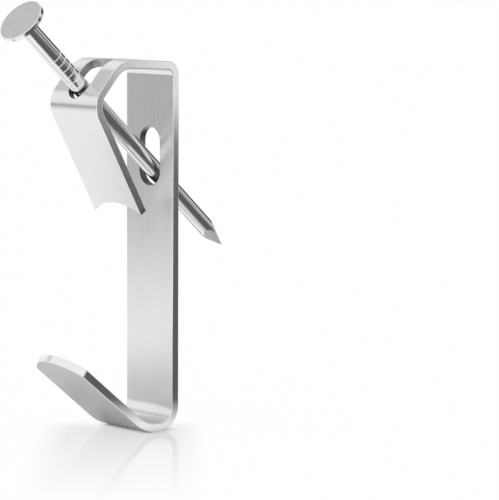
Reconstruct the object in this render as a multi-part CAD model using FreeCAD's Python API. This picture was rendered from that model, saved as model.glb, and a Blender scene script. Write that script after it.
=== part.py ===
import FreeCAD, Part
import math
import os

os.makedirs("parts", exist_ok=True)

# Picture hook: one folded strip of sheet steel with a nail resting in it. Millimetres and degrees.
# The wall is the plane Y = 0 and the room lies towards -Y. Z is up.
# The nail's axis meets the wall at the origin.

# Strip
strip_width = 6.35
sheet = 0.78
edge_round = 0.06

# Top: height and reach of its folds on the sheet's middle line, and its tilt up towards the front
top_height = 10.14
top_reach = 7.18
top_tilt = 3.0
top_fold_inside = 0.66

# Nail guide: the slope in front of the top
brow_fold_inside = 2.40
slope_length = 4.83
slope_angle = 47.5
nose_fold_inside = 1.38

# Flap: runs down and back from the nose and ends in a fishtail
flap_length = 11.90
flap_lean = 29.75
fishtail_depth = 1.12

# Back plate, the short bottom that turns forward at its heel, and the lip that rises from its toe
plate_drop = 23.91
heel_fold_inside = 1.42
bottom_reach = 3.67
toe_fold_inside = 3.60
lip_length = 11.90
lip_angle = 38.6
lip_end_bulge = 1.85

# Nail
nail_diameter = 1.67
nail_length = 34.0
nail_out = 22.2
nail_angle = 41.2
head_diameter = 4.45
head_thickness = 0.46
head_round = 0.07
neck_round = 0.15
point_length = 3.2
ring_count = 7
ring_start = 5.16
ring_pitch = 0.75
ring_width = 0.12
ring_depth = 0.03

# Nail's hole in the guide and slot in the back plate
guide_play = 0.74
guide_length = 3.00
guide_seat_gap = 0.28
slot_play = 1.08
slot_length = 5.52
slot_seat_gap = 0.10

# Smallest length that counts, and how far the cutters reach to each side of the sheet's middle
tiny = 1e-6
cutter_reach = 1.5 * sheet

half = sheet / 2
half_width = strip_width / 2
nail_radius = nail_diameter / 2


def V(x, y, z):
    return FreeCAD.Vector(x, y, z)


def rad(angle):
    return math.radians(angle)


def onward(start, length, angle):
    """Point at a length from start, at an angle from level in the plane of Y and Z."""
    return (start[0] + length * math.cos(rad(angle)), start[1] + length * math.sin(rad(angle)))


# Corners of the sheet's middle line, from the flap's end over the top and down to the lip's end
top_corner = (-half, top_height)
brow = (-top_reach, top_height + (top_reach - half) * math.tan(rad(top_tilt)))
nose = onward(brow, slope_length, 180 + slope_angle)
flap_end = onward(nose, flap_length, flap_lean - 90)
heel = (-half, -plate_drop)
toe = (-half - bottom_reach, -plate_drop)
lip_end = onward(toe, lip_length, 180 - lip_angle)
corners = [flap_end, nose, brow, top_corner, heel, toe, lip_end]
fold_insides = [nose_fold_inside, brow_fold_inside, top_fold_inside, heel_fold_inside, toe_fold_inside]


def heading(a, b):
    return math.atan2(b[1] - a[1], b[0] - a[0])


def middle_line():
    """Pieces of the middle line: start point, heading, length and turn. All folds turn the same way."""
    pieces = []
    start = corners[0]
    for i in range(1, len(corners) - 1):
        h_in = heading(corners[i - 1], corners[i])
        h_out = heading(corners[i], corners[i + 1])
        turn = (h_out - h_in + math.pi) % (2 * math.pi) - math.pi
        radius = fold_insides[i - 1] + half
        back = radius * math.tan(abs(turn) / 2)
        bend = (corners[i][0] - back * math.cos(h_in), corners[i][1] - back * math.sin(h_in))
        pieces.append((start, h_in, math.hypot(bend[0] - start[0], bend[1] - start[1]), 0.0))
        pieces.append((bend, h_in, radius * abs(turn), turn))
        start = (corners[i][0] + back * math.cos(h_out), corners[i][1] + back * math.sin(h_out))
    h_end = heading(corners[-2], corners[-1])
    pieces.append((start, h_end, math.hypot(corners[-1][0] - start[0], corners[-1][1] - start[1]), 0.0))
    return pieces


strip_line = middle_line()


def on_piece(piece, s, out):
    """Point at length s of a piece, moved out of the fold by out, and the heading there."""
    start, h, length, turn = piece
    if turn == 0.0:
        y = start[0] + s * math.cos(h)
        z = start[1] + s * math.sin(h)
        here = h
    else:
        radius = length / abs(turn)
        cy = start[0] + radius * math.sin(h)
        cz = start[1] - radius * math.cos(h)
        here = h - s / radius
        y = cy - radius * math.sin(here)
        z = cz + radius * math.cos(here)
    return V(0, y - out * math.sin(here), z + out * math.cos(here)), here


def at_length(s, out=0.0):
    """Point and heading at length s along the whole middle line."""
    for piece in strip_line:
        if s <= piece[2]:
            return on_piece(piece, s, out)
        s -= piece[2]
    return on_piece(strip_line[-1], strip_line[-1][2] + s, out)


def ribbon(s0, s1, out, inn, width):
    """Solid of the strip's line between two lengths, reaching out and in from it, centred on X = 0."""
    outer = []
    inner = []
    begin = 0.0
    for piece in strip_line:
        a = max(s0 - begin, 0.0)
        b = min(s1 - begin, piece[2])
        begin += piece[2]
        if b - a < tiny:
            continue
        for reach, edges in ((out, outer), (-inn, inner)):
            p = on_piece(piece, a, reach)[0]
            q = on_piece(piece, b, reach)[0]
            if piece[3] == 0.0:
                edges.append(Part.makeLine(p, q))
            else:
                edges.append(Part.Arc(p, on_piece(piece, (a + b) / 2, reach)[0], q).toShape())
    ends = []
    for s in (s0, s1):
        ends.append(Part.makeLine(at_length(s, out)[0], at_length(s, -inn)[0]))
    face = Part.Face(Part.Wire(Part.__sortEdges__(outer + ends + inner)))
    face.translate(V(-width / 2, 0, 0))
    return face.extrude(V(width, 0, 0))


def through(s, radius):
    """Round cutter square to the sheet at length s."""
    at, h = at_length(s)
    normal = V(0, -math.sin(h), math.cos(h))
    return Part.makeCylinder(radius, 2 * cutter_reach, at - normal * cutter_reach, normal)


strip_length = sum(piece[2] for piece in strip_line)
strip = ribbon(0.0, strip_length, half, half, strip_width)

# Soften the strip's four long edges, leaving the short edges of its two ends
strip_ends = [at_length(0.0)[0], at_length(strip_length)[0]]
long_edges = []
for edge in strip.Edges:
    along_side = abs(edge.Vertexes[0].Point.x - edge.Vertexes[-1].Point.x) < tiny
    middle = edge.valueAt((edge.FirstParameter + edge.LastParameter) / 2)
    middle.x = 0.0
    at_end = min(middle.distanceToPoint(end) for end in strip_ends) < tiny
    if along_side and not at_end:
        long_edges.append(edge)
strip = strip.makeFillet(edge_round, long_edges)

# Fishtail: a round bite out of the flap's end
tail_radius = (half_width ** 2 + fishtail_depth ** 2) / (2 * fishtail_depth)
tail = ribbon(0.0, fishtail_depth, sheet, sheet, strip_width)
strip = strip.cut(tail.common(through(fishtail_depth - tail_radius, tail_radius)))

# Lip's end: a wide round nose
lip_radius = (half_width ** 2 + lip_end_bulge ** 2) / (2 * lip_end_bulge)
beyond = ribbon(strip_length - lip_end_bulge, strip_length, sheet, sheet, strip_width + sheet)
strip = strip.cut(beyond.cut(through(strip_length - lip_radius, lip_radius)))

# Guide hole: starts where the nail crosses the slope and runs up over the brow
guide_radius = (nail_diameter + guide_play) / 2
nail_slope = math.tan(rad(nail_angle))
slope_rate = math.tan(rad(slope_angle))
cross_y = (nose[0] * slope_rate - nose[1]) / (slope_rate + nail_slope)
nose_length = strip_line[0][2] + strip_line[1][2]
cross_s = nose_length + (cross_y - strip_line[2][0][0]) / math.cos(rad(slope_angle))
guide_start = cross_s + guide_radius - nail_radius - guide_seat_gap
guide_end = guide_start + guide_length
strip = strip.cut(ribbon(guide_start, guide_end, cutter_reach, cutter_reach, 2 * guide_radius))
for s in (guide_start, guide_end):
    strip = strip.cut(through(s, guide_radius))

# Slot in the back plate: the nail lies on its lower end
slot_radius = (nail_diameter + slot_play) / 2
slot_bottom = -(nail_radius + slot_seat_gap) / math.cos(rad(nail_angle))
slot_low = slot_bottom + slot_radius
slot_high = slot_bottom + slot_length - slot_radius
slot_front = -half - cutter_reach
slot = Part.makeBox(2 * slot_radius, 2 * cutter_reach, slot_high - slot_low,
                    V(-slot_radius, slot_front, slot_low))
for z in (slot_low, slot_high):
    end = Part.makeCylinder(slot_radius, 2 * cutter_reach, V(0, slot_front, z), V(0, 1, 0))
    slot = slot.fuse(end)
hook = strip.cut(slot.removeSplitter())

# Nail: turned about its own axis from the head's flat top down to the point
head_radius = head_diameter / 2
nail_low = head_thickness + neck_round
corner = head_round * (1 - math.sqrt(0.5))
neck = neck_round * (1 - math.sqrt(0.5))
outline = [
    Part.makeLine(V(0, 0, 0), V(head_radius - head_round, 0, 0)),
    Part.Arc(V(head_radius - head_round, 0, 0), V(head_radius - corner, 0, corner),
             V(head_radius, 0, head_round)).toShape(),
    Part.makeLine(V(head_radius, 0, head_round), V(head_radius, 0, head_thickness)),
    Part.makeLine(V(head_radius, 0, head_thickness), V(nail_radius + neck_round, 0, head_thickness)),
    Part.Arc(V(nail_radius + neck_round, 0, head_thickness),
             V(nail_radius + neck, 0, head_thickness + neck), V(nail_radius, 0, nail_low)).toShape(),
]
for i in range(ring_count):
    middle = ring_start + i * ring_pitch
    above = V(nail_radius, 0, middle - ring_width / 2)
    below = V(nail_radius, 0, middle + ring_width / 2)
    outline.append(Part.makeLine(outline[-1].Vertexes[-1].Point, above))
    outline.append(Part.makeLine(above, V(nail_radius - ring_depth, 0, middle)))
    outline.append(Part.makeLine(V(nail_radius - ring_depth, 0, middle), below))
outline.append(Part.makeLine(outline[-1].Vertexes[-1].Point, V(nail_radius, 0, nail_length)))
outline.append(Part.makeLine(V(nail_radius, 0, nail_length), V(0, 0, nail_length)))
outline.append(Part.makeLine(V(0, 0, nail_length), V(0, 0, 0)))
nail = Part.Face(Part.Wire(outline)).revolve(V(0, 0, 0), V(0, 0, 1), 360)

# Four flats meet in the diamond point
for quarter in range(4):
    block = Part.makeBox(nail_diameter, 2 * nail_diameter, 2 * point_length,
                         V(0, -nail_diameter, -point_length))
    block.rotate(V(0, 0, 0), V(0, 1, 0), -math.degrees(math.atan2(nail_radius, point_length)))
    block.rotate(V(0, 0, 0), V(0, 0, 1), 45 + 90 * quarter)
    block.translate(V(0, 0, nail_length))
    nail = nail.cut(block)

nail.translate(V(0, 0, -nail_out))
nail.rotate(V(0, 0, 0), V(1, 0, 0), -(90 + nail_angle))

for name, shape in (("hook", hook), ("nail", nail)):
    solid = shape.Solids[0]
    solid.exportStep("parts/" + name + ".step")
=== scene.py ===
import math

import bpy
from mathutils import Euler, Matrix, Vector
from mathutils.geometry import delaunay_2d_cdt


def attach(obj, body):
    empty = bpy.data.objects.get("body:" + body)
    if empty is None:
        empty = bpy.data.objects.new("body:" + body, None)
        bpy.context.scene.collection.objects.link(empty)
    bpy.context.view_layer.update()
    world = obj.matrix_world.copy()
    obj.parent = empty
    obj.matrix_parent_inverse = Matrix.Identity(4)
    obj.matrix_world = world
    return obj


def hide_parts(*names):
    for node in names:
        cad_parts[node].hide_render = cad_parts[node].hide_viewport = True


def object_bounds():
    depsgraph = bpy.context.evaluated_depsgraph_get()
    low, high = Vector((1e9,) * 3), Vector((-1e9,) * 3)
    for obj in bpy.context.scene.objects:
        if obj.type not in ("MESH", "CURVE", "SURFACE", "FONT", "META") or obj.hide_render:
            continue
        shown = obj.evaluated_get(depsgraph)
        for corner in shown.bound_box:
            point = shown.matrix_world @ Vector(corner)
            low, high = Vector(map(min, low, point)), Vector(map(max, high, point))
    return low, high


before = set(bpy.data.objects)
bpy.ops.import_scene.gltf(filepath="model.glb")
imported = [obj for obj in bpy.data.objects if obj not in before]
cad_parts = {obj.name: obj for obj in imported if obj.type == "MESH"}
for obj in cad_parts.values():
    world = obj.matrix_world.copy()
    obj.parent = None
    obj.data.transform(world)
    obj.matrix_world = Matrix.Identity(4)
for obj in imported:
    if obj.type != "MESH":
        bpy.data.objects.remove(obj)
cad_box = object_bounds()

# Picture hook and nail: sizes in millimetres and degrees, turned into metres when a mesh is made.
MM = 0.001

# Strip and its folds, measured on the sheet's middle line
strip_width = 6.35
sheet = 0.78
edge_round = 0.06
top_height = 10.14
top_reach = 7.18
top_tilt = 3.0
top_fold_inside = 0.66
brow_fold_inside = 2.40
slope_length = 4.83
slope_angle = 47.5
nose_fold_inside = 1.38
flap_length = 11.90
flap_lean = 29.75
fishtail_depth = 1.12
plate_drop = 23.91
heel_fold_inside = 1.42
bottom_reach = 3.67
toe_fold_inside = 3.60
lip_length = 11.90
lip_angle = 38.6
lip_end_bulge = 1.85

# Nail, and the hole and slot that hold it
nail_diameter = 1.67
nail_length = 34.0
nail_out = 22.2
nail_angle = 41.2
head_diameter = 4.45
head_thickness = 0.46
head_round = 0.07
rim_round = 0.05
neck_round = 0.15
point_length = 3.2
ring_count = 7
ring_start = 5.16
ring_pitch = 0.75
ring_width = 0.12
ring_depth = 0.03
guide_play = 0.74
guide_length = 3.00
guide_seat_gap = 0.28
slot_play = 1.08
slot_length = 5.52
slot_seat_gap = 0.10

half = sheet / 2
half_width = strip_width / 2
nail_radius = nail_diameter / 2
guide_radius = (nail_diameter + guide_play) / 2
slot_radius = (nail_diameter + slot_play) / 2


# The sheet's middle line

def rad(angle):
    return math.radians(angle)


def heading(a, b):
    return math.atan2(b[1] - a[1], b[0] - a[0])


def onward(start, length, angle):
    """Point at a length from start, at an angle from level in the plane of Y and Z."""
    return (start[0] + length * math.cos(rad(angle)), start[1] + length * math.sin(rad(angle)))


def middle_line():
    """Straight runs and folds from the flap's end to the lip's end: start, heading, length, turn."""
    top_corner = (-half, top_height)
    brow = (-top_reach, top_height + (top_reach - half) * math.tan(rad(top_tilt)))
    nose = onward(brow, slope_length, 180 + slope_angle)
    flap_end = onward(nose, flap_length, flap_lean - 90)
    heel = (-half, -plate_drop)
    toe = (-half - bottom_reach, -plate_drop)
    lip_end = onward(toe, lip_length, 180 - lip_angle)
    corners = [flap_end, nose, brow, top_corner, heel, toe, lip_end]
    insides = [nose_fold_inside, brow_fold_inside, top_fold_inside, heel_fold_inside, toe_fold_inside]
    pieces = []
    start = corners[0]
    for before, corner, after, inside in zip(corners, corners[1:], corners[2:], insides):
        h_in = heading(before, corner)
        h_out = heading(corner, after)
        turn = (h_out - h_in + math.pi) % (2 * math.pi) - math.pi
        radius = inside + half
        back = radius * math.tan(abs(turn) / 2)
        bend = (corner[0] - back * math.cos(h_in), corner[1] - back * math.sin(h_in))
        pieces.append((start, h_in, math.dist(start, bend), 0.0))
        pieces.append((bend, h_in, radius * abs(turn), turn))
        start = (corner[0] + back * math.cos(h_out), corner[1] + back * math.sin(h_out))
    pieces.append((start, heading(start, corners[-1]), math.dist(start, corners[-1]), 0.0))
    return pieces


line = middle_line()
strip_length = sum(piece[2] for piece in line)


def begins(index):
    """Length along the strip at which a run or fold begins."""
    return sum(piece[2] for piece in line[:index])


def fold(x, s, out):
    """Folds a point of the flat blank: its place, the outward normal and the way along the strip."""
    index = 0
    while index < len(line) - 1 and s > line[index][2]:
        s -= line[index][2]
        index += 1
    start, h, length, turn = line[index]
    if turn == 0.0:
        y = start[0] + s * math.cos(h)
        z = start[1] + s * math.sin(h)
    else:
        radius = length / abs(turn)
        y = start[0] + radius * math.sin(h)
        z = start[1] - radius * math.cos(h)
        h -= s / radius
        y -= radius * math.sin(h)
        z += radius * math.cos(h)
    normal = Vector((0, -math.sin(h), math.cos(h)))
    along = Vector((0, math.cos(h), math.sin(h)))
    return Vector((x, y, z)) + normal * out, normal, along


# The flat blank: its outline, its two holes and the rows of points that let it fold smoothly

SLOPE, PLATE = 2, 6
nose_y, nose_z = line[SLOPE][0]
slope_rate = math.tan(rad(slope_angle))
nail_rate = math.tan(rad(nail_angle))
cross_y = (nose_y * slope_rate - nose_z) / (slope_rate + nail_rate)
cross_s = begins(SLOPE) + (cross_y - nose_y) / math.cos(rad(slope_angle))
guide_start = cross_s + guide_radius - nail_radius - guide_seat_gap
slot_bottom = -(nail_radius + slot_seat_gap) / math.cos(rad(nail_angle))
slot_end = begins(PLATE) + line[PLATE][0][1] - slot_bottom - slot_radius
slot_start = slot_end - slot_length + 2 * slot_radius

# Each hole: the lengths of its two round ends' middles, and its radius
holes = [
    (guide_start, guide_start + guide_length, guide_radius),
    (slot_start, slot_end, slot_radius),
]

# How finely the meshes are divided, and the lengths below which points count as one
FOLD_STEP = rad(4)
FLAT_STEP = 0.55
COLUMN_STEP = 0.42
ARC_STEPS = 24
EDGE_STEPS = 4
NAIL_SECTORS = 96
HEAD_STEPS = 8
RIM_STEPS = 4
NECK_STEPS = 6
POINT_STEPS = 8
SHARPEST = 0.5
TINY = 1e-6
CUT_TINY = 1e-7
INSIDE_ONLY = 1


def rows():
    """Lengths along the strip with a row of points: close in the folds, wide on the flats."""
    found = [0.0]
    for index, (start, h, length, turn) in enumerate(line):
        count = math.ceil(abs(turn) / FOLD_STEP) if turn else math.ceil(length / FLAT_STEP)
        found += [begins(index) + length * (i + 1) / count for i in range(count)]
    return found


tail_radius = (half_width ** 2 + fishtail_depth ** 2) / (2 * fishtail_depth)
lip_radius = (half_width ** 2 + lip_end_bulge ** 2) / (2 * lip_end_bulge)


def tail_edge(x):
    """Length at which the fishtail's bite meets the strip."""
    return fishtail_depth - tail_radius + math.sqrt(tail_radius ** 2 - x ** 2)


def lip_edge(x):
    """Length at which the lip's round end closes the strip."""
    return strip_length - lip_radius + math.sqrt(lip_radius ** 2 - x ** 2)


def across(radius):
    """Places across the strip at even steps along an arc that spans it."""
    reach = math.asin(half_width / radius)
    inner = [radius * math.sin(reach * (2 * i / ARC_STEPS - 1)) for i in range(1, ARC_STEPS)]
    return [-half_width] + inner + [half_width]


def outline():
    """The blank's outer edge, counter-clockwise in width and length."""
    sides = [s for s in rows() if FLAT_STEP / 2 < s < lip_edge(half_width) - FLAT_STEP / 4]
    points = [(x, tail_edge(x)) for x in across(tail_radius)]
    points += [(half_width, s) for s in sides]
    points += [(x, lip_edge(x)) for x in reversed(across(lip_radius))]
    points += [(-half_width, s) for s in reversed(sides)]
    return points


def obround(low, high, radius):
    """A round-ended hole along the strip, clockwise, so that the sheet lies on the left of it."""
    ends = [math.pi * i / ARC_STEPS for i in range(ARC_STEPS + 1)]
    sides = [s for s in rows() if low + FLAT_STEP / 9 < s < high - FLAT_STEP / 9]
    points = [(-radius * math.cos(a), high + radius * math.sin(a)) for a in ends]
    points += [(radius, s) for s in reversed(sides)]
    points += [(radius * math.cos(a), low - radius * math.sin(a)) for a in ends]
    points += [(-radius, s) for s in sides]
    return points


def inward(loop):
    """For each point of a loop, the direction into the sheet, long enough to keep a corner's inset even."""
    directions = []
    for before, here, after in zip(loop[-1:] + loop[:-1], loop, loop[1:] + loop[:1]):
        a = Vector((here[0] - before[0], here[1] - before[1])).normalized()
        b = Vector((after[0] - here[0], after[1] - here[1])).normalized()
        left_a = Vector((-a.y, a.x))
        left_b = Vector((-b.y, b.x))
        middle = (left_a + left_b).normalized()
        directions.append(middle / max(middle.dot(left_a), SHARPEST))
    return directions


def in_sheet(x, s, margin):
    """Is a point of the flat blank on the sheet, at least margin from every edge?"""
    if abs(x) > half_width - margin:
        return False
    if s < tail_edge(x) + margin or s > lip_edge(x) - margin:
        return False
    for low, high, radius in holes:
        if math.hypot(x, s - min(max(s, low), high)) < radius + margin:
            return False
    return True


def blank_faces(loops):
    """Triangulates the sheet between the inset loops: flat points and triangles, loops first."""
    points = [Vector(p) for loop in loops for p in loop]
    edges = []
    first = 0
    for loop in loops:
        edges += [(first + i, first + (i + 1) % len(loop)) for i in range(len(loop))]
        first += len(loop)
    columns = round(strip_width / COLUMN_STEP)
    for s in rows():
        last = None
        for column in range(1, columns):
            x = -half_width + strip_width * column / columns
            if not in_sheet(x, s, edge_round + COLUMN_STEP / 4):
                last = None
                continue
            points.append(Vector((x, s)))
            if last is not None:
                edges.append((last, len(points) - 1))
            last = len(points) - 1
    flat, _, faces, _, _, _ = delaunay_2d_cdt(points, edges, [], INSIDE_ONLY, CUT_TINY)
    kept = []
    for face in faces:
        middle = sum((flat[i] for i in face), Vector((0, 0))) / len(face)
        if in_sheet(middle.x, middle.y, edge_round / 2):
            kept.append(tuple(face))
    return flat, kept


# Meshes

def make_piece(name, vertices, faces, normals, node, materials, face_materials, layout):
    """A mesh piece in metres that stands for a CAD node, with one normal for each corner of each face."""
    mesh = bpy.data.meshes.new(name)
    mesh.from_pydata([Vector(v) * MM for v in vertices], [], faces)
    mesh.polygons.foreach_set("use_smooth", [True] * len(faces))
    mesh.polygons.foreach_set("material_index", face_materials)
    for material in materials:
        mesh.materials.append(material)
    uv = mesh.uv_layers.new(name="sheet")
    for corner, place in zip(uv.data, layout):
        corner.uv = place
    mesh.normals_split_custom_set([tuple(n) for n in normals])
    mesh.update()
    piece = bpy.data.objects.new(name, mesh)
    bpy.context.scene.collection.objects.link(piece)
    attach(piece, "root")
    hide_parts(node)
    return piece


def edge_profile():
    """The rounded edge from the outer to the inner face: inset, height and how far the normal has turned."""
    profile = []
    for i in range(EDGE_STEPS + 1):
        a = math.pi / 2 * i / EDGE_STEPS
        profile.append((edge_round * (1 - math.sin(a)), half - edge_round * (1 - math.cos(a)), a))
    return profile + [(inset, -out, math.pi - a) for inset, out, a in reversed(profile)]


def make_hook(face_material, edge_material, guide_material, slot_material):
    """The folded strip: its two faces, and the rounded edges of its outline and its two holes."""
    loops = [outline()] + [obround(*hole) for hole in holes]
    aims = [inward(loop) for loop in loops]

    def inset_loop(loop, aim, inset):
        return [(p[0] + d.x * inset, p[1] + d.y * inset) for p, d in zip(loop, aim)]

    flat, triangles = blank_faces([inset_loop(loop, aim, edge_round) for loop, aim in zip(loops, aims)])
    vertices, faces, normals, face_materials, layout = [], [], [], [], []
    for out in (half, -half):
        first = len(vertices)
        folded = [fold(p.x, p.y, out) for p in flat]
        vertices += [place for place, _, _ in folded]
        for face in triangles:
            face = face if out > 0 else face[::-1]
            faces.append([first + i for i in face])
            normals += [folded[i][1] * math.copysign(1, out) for i in face]
            layout += [(flat[i].x, flat[i].y) for i in face]
            face_materials.append(0)
    profile = edge_profile()
    for loop, aim, material in zip(loops, aims, (1, 2, 3)):
        count = len(loop)
        first = len(vertices)
        turned = []
        for inset, out, angle in profile:
            for (x, s), d in zip(inset_loop(loop, aim, inset), aim):
                place, normal, along = fold(x, s, out)
                flat_d = d.normalized()
                side = Vector((-flat_d.x, 0, 0)) - along * flat_d.y
                vertices.append(place)
                turned.append((normal * math.cos(angle) + side * math.sin(angle)).normalized())
        for ring in range(len(profile) - 1):
            for i in range(count):
                j = (i + 1) % count
                quad = [ring * count + i, (ring + 1) * count + i, (ring + 1) * count + j, ring * count + j]
                faces.append([first + k for k in quad])
                normals += [turned[k] for k in quad]
                for k in quad:
                    point = loop[k % count]
                    layout.append((profile[k // count][1], point[1] + point[0]))
                face_materials.append(material)
    materials = [face_material, edge_material, guide_material, slot_material]
    hook = make_piece("folded_hook", vertices, faces, normals, "hook", materials, face_materials, layout)
    return hook


def turned_outline():
    """The nail's outline as runs of axial place, radius and the normal's lean towards the point.

    A sharp corner starts a new run. Also gives the place from which the shank is plain.
    """

    def arc(z, r, radius, start, end, steps, hollow=False):
        points = []
        for i in range(steps + 1):
            a = rad(start + (end - start) * i / steps)
            lean = math.pi + a if hollow else a
            points.append((z + radius * math.sin(a), r + radius * math.cos(a), lean))
        return points

    up, flat = -math.pi / 2, 0.0
    head_radius = head_diameter / 2
    runs = [[(0.0, 0.0, up), (0.0, head_radius / 2, up), (0.0, head_radius - head_round, up)]]
    runs[0] += arc(head_round, head_radius - head_round, head_round, -90, 0, HEAD_STEPS)
    runs[0] += arc(head_thickness - rim_round, head_radius - rim_round, rim_round, 0, 90, RIM_STEPS)
    start = head_thickness + neck_round
    runs[0] += arc(start, nail_radius + neck_round, neck_round, 270, 180, NECK_STEPS, hollow=True)
    slope = math.atan2(ring_depth, ring_width / 2)
    for i in range(ring_count):
        middle = ring_start + i * ring_pitch
        above = (middle - ring_width / 2, nail_radius)
        bottom = (middle, nail_radius - ring_depth)
        below = (middle + ring_width / 2, nail_radius)
        runs.append([(start, nail_radius, flat), (*above, flat)])
        runs.append([(*above, slope), (*bottom, slope)])
        runs.append([(*bottom, -slope), (*below, -slope)])
        start = below[0]
    return runs, start


def make_nail(material):
    """The nail, turned about its axis, with four flats for its point."""
    sectors = NAIL_SECTORS
    vertices, faces, normals, layout = [], [], [], []
    axis = Vector((0, math.cos(rad(nail_angle)), -math.sin(rad(nail_angle))))
    side = Vector((1, 0, 0))
    under = axis.cross(side)

    def direction(sector):
        a = 2 * math.pi * sector / sectors
        return side * math.cos(a) + under * math.sin(a)

    def place(z, r, sector):
        return axis * (z - nail_out) + direction(sector) * r

    def add_face(corners):
        """One face from corners of place, normal and flat layout."""
        first = len(vertices)
        kept = []
        for corner in corners:
            if not kept or (corner[0] - kept[-1][0]).length > TINY:
                kept.append(corner)
        if (kept[0][0] - kept[-1][0]).length < TINY:
            kept.pop()
        vertices.extend(c[0] for c in kept)
        normals.extend(c[1] for c in kept)
        layout.extend(c[2] for c in kept)
        faces.append(list(range(first, first + len(kept))))

    def corner_of(point, sector):
        z, r, lean = point
        normal = direction(sector) * math.cos(lean) + axis * math.sin(lean)
        return place(z, r, sector), normal, (sector / sectors * 2 * math.pi * nail_radius, z - r)

    def add_band(upper, lower, sector):
        """A face between two pairs of outline points, each pair at a sector and the next."""
        add_face([corner_of(upper[0], sector), corner_of(upper[1], sector + 1),
                  corner_of(lower[1], sector + 1), corner_of(lower[0], sector)])

    runs, plain_from = turned_outline()
    for run in runs:
        for a, b in zip(run, run[1:]):
            for sector in range(sectors):
                add_band((a, a), (b, b), sector)

    # The plain shank runs down to the four flats of the diamond point
    rate = nail_radius / point_length
    tip = place(nail_length, 0, 0)
    for sector in range(sectors):
        ends = []
        for k in (sector, sector + 1):
            off = (2 * math.pi * k / sectors) % (math.pi / 2) - math.pi / 4
            ends.append((nail_length - nail_radius * math.cos(off) / rate, nail_radius, 0.0))
        add_band([(plain_from, nail_radius, 0.0)] * 2, ends, sector)
        flat_middle = math.pi / 4 + math.pi / 2 * (sector * 4 // sectors)
        outward = side * math.cos(flat_middle) + under * math.sin(flat_middle)
        flat_normal = (outward + axis * rate).normalized()
        edge = [place(ends[i][0], nail_radius, sector + i) for i in (0, 1)]
        for step in range(POINT_STEPS):
            near, far = step / POINT_STEPS, (step + 1) / POINT_STEPS
            quad = [edge[0].lerp(tip, near), edge[1].lerp(tip, near),
                    edge[1].lerp(tip, far), edge[0].lerp(tip, far)]
            add_face([(p, flat_normal, (p.x, (p - tip).dot(axis))) for p in quad])
    nail = make_piece("wire_nail", vertices, faces, normals, "nail", [material], [0] * len(faces), layout)
    return nail


# Materials: the darkest and lightest colour of each, and how deep their fine relief is

plate_dark, plate_light = (0.762, 0.747, 0.768), (0.822, 0.806, 0.829)
cut_dark, cut_light = (0.79, 0.79, 0.795), (0.89, 0.89, 0.895)
# Near black for the painted shade low in the hole walls
painted_shade_dark = (0.03, 0.03, 0.03)
wire_dark, wire_light = (0.78, 0.78, 0.785), (0.88, 0.88, 0.885)
relief_depth = 0.01


def new_metal(name):
    """A bare metal to add detail to: the material, its nodes and links, its shader and its flat layout."""
    material = bpy.data.materials.new(name)
    material.use_nodes = True
    nodes = material.node_tree.nodes
    shader = nodes["Principled BSDF"]
    shader.inputs["Metallic"].default_value = 1.0
    layout = nodes.new("ShaderNodeUVMap")
    layout.uv_map = "sheet"
    return material, nodes, material.node_tree.links, shader, layout.outputs["UV"]


def add_noise(nodes, links, coordinates, scale, detail, roughness=0.55):
    """Noise stretched by a scale for each direction of the coordinates."""
    mapping = nodes.new("ShaderNodeMapping")
    mapping.inputs["Scale"].default_value = scale
    noise = nodes.new("ShaderNodeTexNoise")
    noise.inputs["Scale"].default_value = 1.0
    noise.inputs["Detail"].default_value = detail
    noise.inputs["Roughness"].default_value = roughness
    links.new(coordinates, mapping.inputs["Vector"])
    links.new(mapping.outputs["Vector"], noise.inputs["Vector"])
    return noise.outputs["Fac"]


def add_range(nodes, links, value, low, high, from_low=0.3, from_high=0.7):
    """Spreads a value over a range."""
    spread = nodes.new("ShaderNodeMapRange")
    spread.inputs["From Min"].default_value = from_low
    spread.inputs["From Max"].default_value = from_high
    spread.inputs["To Min"].default_value = low
    spread.inputs["To Max"].default_value = high
    links.new(value, spread.inputs["Value"])
    return spread.outputs["Result"]


def add_colour(nodes, links, value, dark, light):
    """Colour between two greys, by a value from 0 to 1."""
    ramp = nodes.new("ShaderNodeValToRGB")
    ramp.color_ramp.elements[0].color = (*dark, 1)
    ramp.color_ramp.elements[1].color = (*light, 1)
    links.new(value, ramp.inputs["Fac"])
    return ramp.outputs["Color"]


def add_math(nodes, links, operation, a, b):
    """Arithmetic between two outputs or numbers."""
    node = nodes.new("ShaderNodeMath")
    node.operation = operation
    for socket, value in zip(node.inputs, (a, b)):
        if isinstance(value, (int, float)):
            socket.default_value = value
        else:
            links.new(value, socket)
    return node.outputs["Value"]


def add_bump(nodes, links, shader, height, strength):
    """Fine relief from a noise value."""
    bump = nodes.new("ShaderNodeBump")
    bump.inputs["Strength"].default_value = strength
    bump.inputs["Distance"].default_value = relief_depth * MM
    links.new(height, bump.inputs["Height"])
    links.new(bump.outputs["Normal"], shader.inputs["Normal"])


def plated_strip():
    """Satin nickel plate over rolled strip: fine streaks along it and a faint clouding of the plate."""
    material, nodes, links, shader, layout = new_metal("satin_plate")
    streaks = add_noise(nodes, links, layout, (11.0, 0.12, 1.0), 4.0, 0.5)
    clouds = add_noise(nodes, links, layout, (0.35, 0.22, 1.0), 3.0)
    specks = add_noise(nodes, links, layout, (9.0, 6.0, 1.0), 2.0)
    tone = add_math(nodes, links, "ADD", add_range(nodes, links, clouds, 0.0, 0.6),
                    add_range(nodes, links, streaks, 0.0, 0.4))
    links.new(add_colour(nodes, links, tone, plate_dark, plate_light), shader.inputs["Base Color"])
    gloss = add_math(nodes, links, "ADD", add_range(nodes, links, streaks, 0.22, 0.27),
                     add_range(nodes, links, specks, -0.02, 0.02))
    links.new(gloss, shader.inputs["Roughness"])
    add_bump(nodes, links, shader, streaks, 0.05)
    return material


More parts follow.
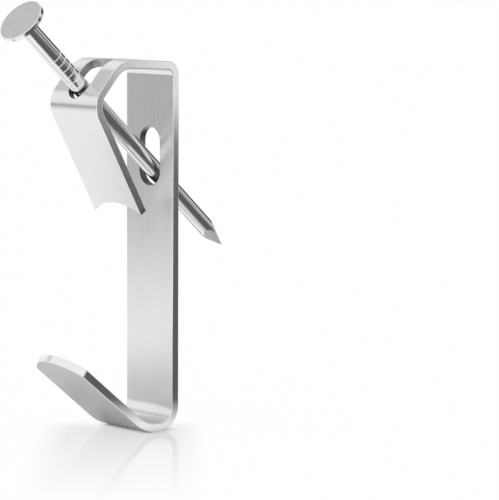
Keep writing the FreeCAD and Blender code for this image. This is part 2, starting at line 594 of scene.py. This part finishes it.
def slit_edge():
    """Edge of the strip where it was slit: thin plate over a finely lined cut."""
    material, nodes, links, shader, layout = new_metal("slit_edge")
    lines = add_noise(nodes, links, layout, (14.0, 0.5, 1.0), 4.0, 0.6)
    clouds = add_noise(nodes, links, layout, (1.0, 0.5, 1.0), 3.0)
    links.new(add_colour(nodes, links, clouds, cut_dark, cut_light), shader.inputs["Base Color"])
    links.new(add_range(nodes, links, lines, 0.09, 0.15), shader.inputs["Roughness"])
    add_bump(nodes, links, shader, lines, 0.05)
    return material


def punched_wall(name, dark_z, light_z, light):
    """Wall of a punched hole: bare steel, with painted shade that darkens it downwards and towards the hole's
    lower left, where the inside of the hole is shaded, up to a lightest grey.
    """
    material, nodes, links, shader, layout = new_metal(name)
    lines = add_noise(nodes, links, layout, (9.0, 2.0, 1.0), 4.0, 0.6)
    split = nodes.new("ShaderNodeSeparateXYZ")
    links.new(nodes.new("ShaderNodeTexCoord").outputs["Object"], split.inputs["Vector"])
    # Painted shade: the wall darkens below dark_z and towards the left of the hole
    height = add_range(nodes, links, split.outputs["Z"], 0.0, 1.0, dark_z * MM, light_z * MM)
    side = add_range(nodes, links, split.outputs["X"], 0.0, 0.6, 0.0, nail_radius * MM)
    tone = add_math(nodes, links, "ADD", add_math(nodes, links, "ADD", height, side),
                    add_range(nodes, links, lines, -0.1, 0.1))
    colour = add_colour(nodes, links, tone, painted_shade_dark, (light, light, light))
    links.new(colour, shader.inputs["Base Color"])
    links.new(add_range(nodes, links, lines, 0.28, 0.42), shader.inputs["Roughness"])
    add_bump(nodes, links, shader, lines, 0.15)
    return material


def drawn_wire():
    """Bright drawn steel wire: faint lines along the nail and a slight change of gloss."""
    material, nodes, links, shader, layout = new_metal("bright_wire")
    lines = add_noise(nodes, links, layout, (16.0, 0.2, 1.0), 4.0, 0.6)
    clouds = add_noise(nodes, links, layout, (0.9, 0.5, 1.0), 3.0)
    links.new(add_colour(nodes, links, clouds, wire_dark, wire_light), shader.inputs["Base Color"])
    links.new(add_range(nodes, links, lines, 0.12, 0.19), shader.inputs["Roughness"])
    add_bump(nodes, links, shader, lines, 0.03)
    return material


# Each hole's wall: the heights between which its painted shade goes from dark to light, and its lightest grey
guide_wall = punched_wall("guide_wall", 8.2, 9.8, 0.50)
slot_wall = punched_wall("slot_wall", -1.2, 1.2, 0.28)
make_hook(plated_strip(), slit_edge(), guide_wall, slot_wall)
make_nail(drawn_wire())


# Camera: the photograph's place, lens and aim

sensor = 36.0
lens = 185.8
camera_azimuth = 44.45
camera_elevation = 6.99
camera_roll = 0.335
camera_distance = 244.75
camera_aim = Vector((6.64, 6.00, -7.44))
level_turn = Euler((rad(90 - camera_elevation), 0, rad(camera_azimuth))).to_matrix()
camera_turn = level_turn @ Matrix.Rotation(rad(camera_roll), 3, "Z")
camera_place = camera_aim + camera_turn @ Vector((0, 0, camera_distance))


def make_camera():
    data = bpy.data.cameras.new("photo_camera")
    data.sensor_fit = "HORIZONTAL"
    data.sensor_width = sensor
    data.lens = lens
    data.clip_start = 0.01
    data.clip_end = 30
    camera = bpy.data.objects.new("photo_camera", data)
    bpy.context.scene.collection.objects.link(camera)
    camera.rotation_euler = camera_turn.to_euler()
    camera.location = camera_place * MM
    bpy.context.scene.camera = camera


# Stage: white all round for the camera. Reflections also see darker parts of the studio and of the board.

# Light on the board, and how much plain white the camera sees in it away from the foot
daylight = 0.9
board_white = 0.92
board_glow = 0.24
contact_glow = 0.04
white_share = 0.97
floor_z = cad_box[0].z / MM
floor_reach = 10000

# The board dims to the front left and rises a little again: start, end and brightness
front_left = (-0.72, -0.69, 0)
dim_start, dim_end, dim_level = 85, 250, 0.28
rise_start, rise_end, rise_level = 380, 600, 0.12

# Mirror image in the board: it fades with the distance from the foot, behind it and to its sides
mirror_share = 0.36
mirror_roughness = 0.07
mirror_reach = 34
contact = (0.0, -3.0)
towards_camera = (0.70, -0.71, 0)
mirror_start, mirror_full = -1.5, 2.5
to_the_right = (0.71, 0.70, 0)
mirror_middle = -3.0
mirror_side, mirror_side_end = 5, 8

# Darker parts of the studio that only reflections see: aim, inner and outer angle, brightness
dusks = [
    ((-0.72, -0.165, 0.665), 3, 14, 0.56),
    ((-0.72, 0.68, 0.09), 10, 25, 0.60),
    ((0.72, 0.68, 0.10), 10, 30, 0.12),
    ((-0.11, 0.965, 0.236), 12, 24, 0.05),
]

# Darker parts of the board that only reflections see: middle, half size, turn, softness, brightness
board_spots = [
    # The first spot is a painted shadow around the hook's foot, seen only in reflections
    ((-1.5, -2.5), (0.5, 0.5), 0, 8.0, 0.42),
    ((-15.0, -15.0), (12.0, 2.5), 45, 4.5, 0.60),
    ((162.0, 132.0), (191.0, 43.0), 43.8, 14.0, 0.11),
    ((32.0, -23.3), (5.0, 21.0), 43.8, 8.0, 0.15),
    ((482.0, 398.0), (225.0, 24.0), 43.8, 12.0, 0.15),
    ((-836.0, 790.0), (1000.0, 300.0), 136.6, 100.0, 0.60),
    ((-33.0, 11.5), (16.0, 4.0), 22.9, 5.0, 0.10),
]

# Patch under the foot, in the same form, where the camera sees the board's whole shadow
contact_patch = ((0.0, -2.4), (3.0, 1.0), 0, 1.2, 0.0)


def add_mix(nodes, links, share, a, b):
    """Value between a and b by a share from 0 to 1."""
    node = nodes.new("ShaderNodeMix")
    node.data_type = "FLOAT"
    for socket, value in zip(node.inputs, (share, None, a, b)):
        if isinstance(value, (int, float)):
            socket.default_value = value
        elif value is not None:
            links.new(value, socket)
    return node.outputs[0]


def add_vector(nodes, links, operation, a, b, result="Value"):
    """Vector arithmetic between an output and a fixed vector."""
    node = nodes.new("ShaderNodeVectorMath")
    node.operation = operation
    links.new(a, node.inputs[0])
    node.inputs[1].default_value = b
    return node.outputs[result]


def make_world():
    """White for the camera, darker in places for reflections, and a little less for light on the board."""
    world = bpy.data.worlds.new("white_studio")
    bpy.context.scene.world = world
    world.use_nodes = True
    nodes, links = world.node_tree.nodes, world.node_tree.links
    path = nodes.new("ShaderNodeLightPath")
    direction = nodes.new("ShaderNodeTexCoord").outputs["Generated"]
    tone = 1.0
    for aim, inner, outer, brightness in dusks:
        near = add_vector(nodes, links, "DOT_PRODUCT", direction, Vector(aim).normalized())
        dusk = add_range(nodes, links, near, 1.0, brightness, math.cos(rad(outer)), math.cos(rad(inner)))
        tone = add_math(nodes, links, "MULTIPLY", tone, dusk)
    strength = add_mix(nodes, links, path.outputs["Is Glossy Ray"], daylight, tone)
    for ray in ("Is Camera Ray", "Is Transmission Ray"):
        strength = add_mix(nodes, links, path.outputs[ray], strength, 1.0)
    links.new(strength, nodes["Background"].inputs["Strength"])
    nodes["Background"].inputs["Color"].default_value = (1, 1, 1, 1)


def add_spot(nodes, links, position, middle, size, turn, softness, brightness):
    """Brightness inside a turned rectangle on the board, rising to 1 outside it."""
    shift = add_vector(nodes, links, "SUBTRACT", position, Vector((*middle, 0)) * MM, "Vector")
    along = Vector((math.cos(rad(turn)), math.sin(rad(turn)), 0))
    across = Vector((-along.y, along.x, 0))
    outside = []
    for aim, reach in zip((along, across), size):
        off = add_vector(nodes, links, "DOT_PRODUCT", shift, aim)
        distance = add_math(nodes, links, "ABSOLUTE", off, 0)
        beyond = add_math(nodes, links, "SUBTRACT", distance, reach * MM)
        outside.append(add_math(nodes, links, "MAXIMUM", beyond, 0))
    squares = [add_math(nodes, links, "MULTIPLY", value, value) for value in outside]
    distance = add_math(nodes, links, "SQRT", add_math(nodes, links, "ADD", *squares), 0)
    return add_range(nodes, links, distance, brightness, 1.0, 0.0, softness * MM)


def add_board_level(nodes, links, position, reflected):
    """Brightness of the board: 1, or less in places where a reflection sees it."""
    far = add_vector(nodes, links, "DOT_PRODUCT", position, front_left)
    dim = add_range(nodes, links, far, 1.0, dim_level, dim_start * MM, dim_end * MM)
    rise = add_range(nodes, links, far, 0.0, rise_level, rise_start * MM, rise_end * MM)
    dim = add_math(nodes, links, "ADD", dim, rise)
    for spot in board_spots:
        dim = add_math(nodes, links, "MULTIPLY", dim, add_spot(nodes, links, position, *spot))
    return add_mix(nodes, links, reflected, 1.0, dim)


def add_mirror_share(nodes, links, position):
    """How much the board mirrors: most at the hook's foot, less with distance, behind it and to its sides."""
    away = add_vector(nodes, links, "DISTANCE", position, Vector((*contact, floor_z)) * MM)
    share = add_range(nodes, links, away, mirror_share, 0.0, 0.0, mirror_reach * MM)
    ahead = add_vector(nodes, links, "DOT_PRODUCT", position, towards_camera)
    front = add_range(nodes, links, ahead, 0.0, 1.0, mirror_start * MM, mirror_full * MM)
    share = add_math(nodes, links, "MULTIPLY", share, front)
    right = add_vector(nodes, links, "DOT_PRODUCT", position, to_the_right)
    off = add_math(nodes, links, "SUBTRACT", right, mirror_middle * MM)
    aside = add_math(nodes, links, "ABSOLUTE", off, 0)
    narrow = add_range(nodes, links, aside, 1.0, 0.0, mirror_side * MM, mirror_side_end * MM)
    return add_math(nodes, links, "MULTIPLY", share, narrow)


def add_shader_mix(nodes, links, share, a, b):
    """Shader between a and b by a share from 0 to 1."""
    node = nodes.new("ShaderNodeMixShader")
    for socket, output in zip(node.inputs, (share, a, b)):
        links.new(output, socket)
    return node.outputs["Shader"]


def white_board():
    """White board: keeps the shadow, and mirrors what stands on it close to the hook's foot."""
    material = bpy.data.materials.new("white_board")
    material.use_nodes = True
    nodes, links = material.node_tree.nodes, material.node_tree.links
    nodes.clear()
    path = nodes.new("ShaderNodeLightPath")
    seen, reflected = path.outputs["Is Camera Ray"], path.outputs["Is Glossy Ray"]
    position = nodes.new("ShaderNodeNewGeometry").outputs["Position"]
    level = add_board_level(nodes, links, position, reflected)

    matte = nodes.new("ShaderNodeBsdfDiffuse")
    white = nodes.new("ShaderNodeCombineColor")
    tone = add_math(nodes, links, "MULTIPLY", level, board_white)
    for channel in white.inputs:
        links.new(tone, channel)
    links.new(white.outputs["Color"], matte.inputs["Color"])
    glow = nodes.new("ShaderNodeEmission")
    lift = add_mix(nodes, links, reflected, 0.0, board_glow)
    lift = add_mix(nodes, links, seen, lift, contact_glow)
    links.new(add_math(nodes, links, "MULTIPLY", lift, level), glow.inputs["Strength"])
    board = nodes.new("ShaderNodeAddShader")
    links.new(matte.outputs["BSDF"], board.inputs[0])
    links.new(glow.outputs["Emission"], board.inputs[1])

    backdrop = nodes.new("ShaderNodeEmission")
    clear = add_spot(nodes, links, position, *contact_patch)
    clear = add_math(nodes, links, "MULTIPLY", clear, white_share)
    clear = add_math(nodes, links, "MULTIPLY", clear, seen)
    lit = add_shader_mix(nodes, links, clear, board.outputs["Shader"], backdrop.outputs["Emission"])

    mirror = nodes.new("ShaderNodeBsdfGlossy")
    mirror.inputs["Roughness"].default_value = mirror_roughness
    share = add_math(nodes, links, "MULTIPLY", add_mirror_share(nodes, links, position), seen)
    surface = add_shader_mix(nodes, links, share, lit, mirror.outputs["BSDF"])
    result = nodes.new("ShaderNodeOutputMaterial")
    links.new(surface, result.inputs["Surface"])
    return material


def make_floor():
    """The board that the hook stands on."""
    reach, z = floor_reach * MM, floor_z * MM
    mesh = bpy.data.meshes.new("floor")
    corners = [(-reach, -reach, z), (reach, -reach, z), (reach, reach, z), (-reach, reach, z)]
    mesh.from_pydata(corners, [], [(0, 1, 2, 3)])
    mesh.materials.append(white_board())
    floor = bpy.data.objects.new("floor", mesh)
    bpy.context.scene.collection.objects.link(floor)


make_world()
make_floor()
make_camera()
bpy.context.scene.view_settings.view_transform = "Standard"
